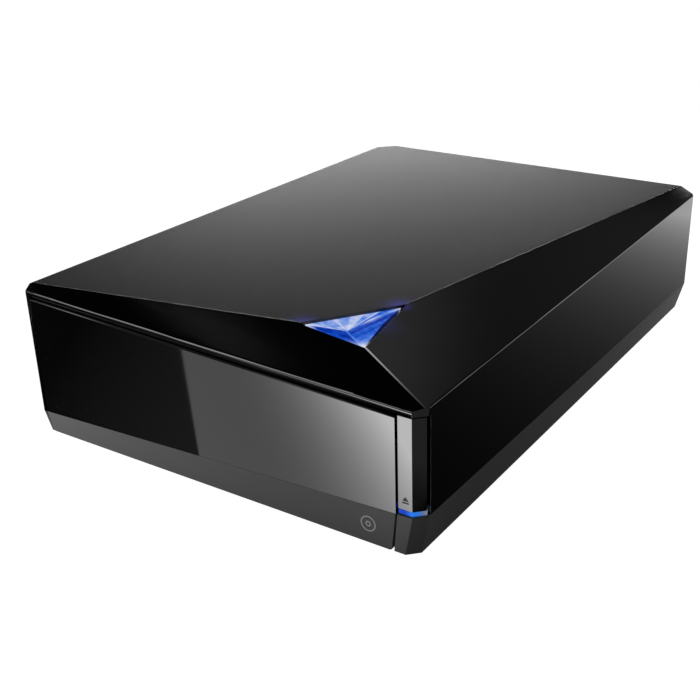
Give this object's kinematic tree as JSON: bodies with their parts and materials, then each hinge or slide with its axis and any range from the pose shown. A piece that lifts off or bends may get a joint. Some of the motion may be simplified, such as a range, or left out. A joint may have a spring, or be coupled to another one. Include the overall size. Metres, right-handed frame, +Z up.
{
  "type": "external optical drive",
  "caption": "Flat black desktop disc drive with a faceted top, a lit blue corner gem, a full-width tray front and an eject button.",
  "frame": {"origin": "on the ground under the middle of the enclosure", "axes": "+Z up, -Y towards the tray front, +X towards the eject button's side"},
  "size_m": [0.165, 0.241, 0.0612],
  "materials": {
    "gloss_black": "gloss",
    "grain_black": "matte",
    "matt_black": "matte",
    "blue_crystal": "gloss",
    "blue_light": "satin",
    "white_plastic": "satin",
    "inner_black": "satin",
    "tray_grey": "satin",
    "zinc_sheet": "satin",
    "screw_steel": "satin",
    "polished_steel": "gloss",
    "rubber": "matte",
    "board_green": "satin",
    "chip_black": "matte",
    "ribbon": "satin",
    "gear_white": "satin",
    "die_cast": "satin",
    "magnet_steel": "satin",
    "lens_glass": "gloss"
  },
  "bodies": {
    "enclosure": {"top_cover": "gloss_black", "top_panel": "grain_black", "base_tray": "matt_black", "front_frame": "inner_black", "rear_panel": "matt_black", "rubber_feet": "rubber", "case_screws": "screw_steel", "mechanism_screws": "screw_steel", "board_screws": "screw_steel", "button_light_guide": "blue_light", "button_spring": "polished_steel", "button_board": "board_green", "eject_switch": "chip_black", "jewel_lens": "blue_crystal", "jewel_reflector": "white_plastic", "jewel_light_board": "board_green", "jewel_lights": "blue_light", "bridge_board": "board_green", "bridge_chips": "chip_black", "data_socket": "zinc_sheet", "power_jack": "inner_black", "link_plug": "chip_black", "link_socket": "chip_black", "drive_chassis": "zinc_sheet", "drive_cover": "zinc_sheet", "loader_frame": "inner_black", "hinge_bushes": "rubber", "drive_board": "board_green", "drive_chips": "chip_black", "pickup_ribbon_cable": "ribbon", "loading_motor": "zinc_sheet", "drive_belt": "rubber", "clamper_bridge": "zinc_sheet"},
    "tray": {"disc_tray": "tray_grey", "tray_rack": "gear_white", "front_panel": "gloss_black", "front_skirt": "matt_black"},
    "eject_button": {"eject_button": "gloss_black"},
    "drive_gear": {"tray_drive_gear": "gear_white"},
    "pulley_gear": {"pulley_gear": "gear_white"},
    "motor_pulley": {"motor_pulley": "gear_white"},
    "cam_slider": {"cam_slider": "gear_white"},
    "traverse": {"traverse_frame": "die_cast", "spindle_motor": "zinc_sheet", "guide_rods": "polished_steel", "feed_motor": "zinc_sheet"},
    "turntable": {"turntable": "inner_black", "turntable_ring": "rubber"},
    "pickup": {"pickup_head": "die_cast"},
    "lens": {"lens_carrier": "inner_black", "objective_lens": "lens_glass"},
    "lead_screw": {"lead_screw": "polished_steel"},
    "clamper": {"disc_clamper": "tray_grey", "clamper_magnet": "magnet_steel"}
  },
  "joints": [
    {"name": "tray_slide", "type": "slide", "parent": "enclosure", "child": "tray", "axis": [0, -1, 0], "range_m": [0, 0.135]},
    {"name": "drive_gear_turn", "type": "hinge", "parent": "enclosure", "child": "drive_gear", "pos_m": [-0.048, -0.09, 0.022], "axis": [0, 0, 1], "range_deg": [0, 967.9]},
    {"name": "pulley_gear_turn", "type": "hinge", "parent": "enclosure", "child": "pulley_gear", "pos_m": [-0.02898, -0.09618, 0.022], "axis": [0, 0, 1], "range_deg": [-3871.5, 0]},
    {"name": "motor_pulley_turn", "type": "hinge", "parent": "enclosure", "child": "motor_pulley", "pos_m": [0.006, -0.0965, 0.022], "axis": [0, 0, 1], "range_deg": [-12904.6, 0]},
    {"name": "eject_press", "type": "slide", "parent": "enclosure", "child": "eject_button", "axis": [0, 1, 0], "range_m": [0, 0.001], "stiffness_N_per_m": 700},
    {"name": "traverse_tip", "type": "hinge", "parent": "enclosure", "child": "traverse", "pos_m": [-0.001, 0.035, 0.019], "axis": [1, 0, 0], "range_deg": [0, 4]},
    {"name": "cam_slide", "type": "slide", "parent": "enclosure", "child": "cam_slider", "axis": [1, 0, 0], "range_m": [0, 0.0225]},
    {"name": "turntable_spin", "type": "hinge", "parent": "traverse", "child": "turntable", "pos_m": [-0.0043, -0.047, 0.028], "axis": [0, 0, 1], "continuous": true},
    {"name": "clamper_spin", "type": "hinge", "parent": "enclosure", "child": "clamper", "pos_m": [-0.0043, -0.047, 0.041], "axis": [0, 0, 1], "continuous": true},
    {"name": "pickup_slide", "type": "slide", "parent": "traverse", "child": "pickup", "axis": [0, 1, 0], "range_m": [0, 0.034]},
    {"name": "lead_screw_turn", "type": "hinge", "parent": "traverse", "child": "lead_screw", "pos_m": [0.0266, 0, 0.019], "axis": [0, 1, 0], "range_deg": [0, 4090]},
    {"name": "lens_focus", "type": "slide", "parent": "pickup", "child": "lens", "axis": [0, 0, 1], "range_m": [-0.0005, 0.0005], "stiffness_N_per_m": 60}
  ],
  "couplings": [
    {"joint": "drive_gear_turn", "follows": "tray_slide", "rad_per_m": 125},
    {"joint": "pulley_gear_turn", "follows": "tray_slide", "rad_per_m": -500},
    {"joint": "motor_pulley_turn", "follows": "tray_slide", "rad_per_m": -1666.7},
    {"joint": "cam_slide", "follows": "traverse_tip", "m_per_rad": 0.31513},
    {"joint": "clamper_spin", "follows": "turntable_spin", "ratio": 1},
    {"joint": "lead_screw_turn", "follows": "pickup_slide", "rad_per_m": 2094.4}
  ]
}
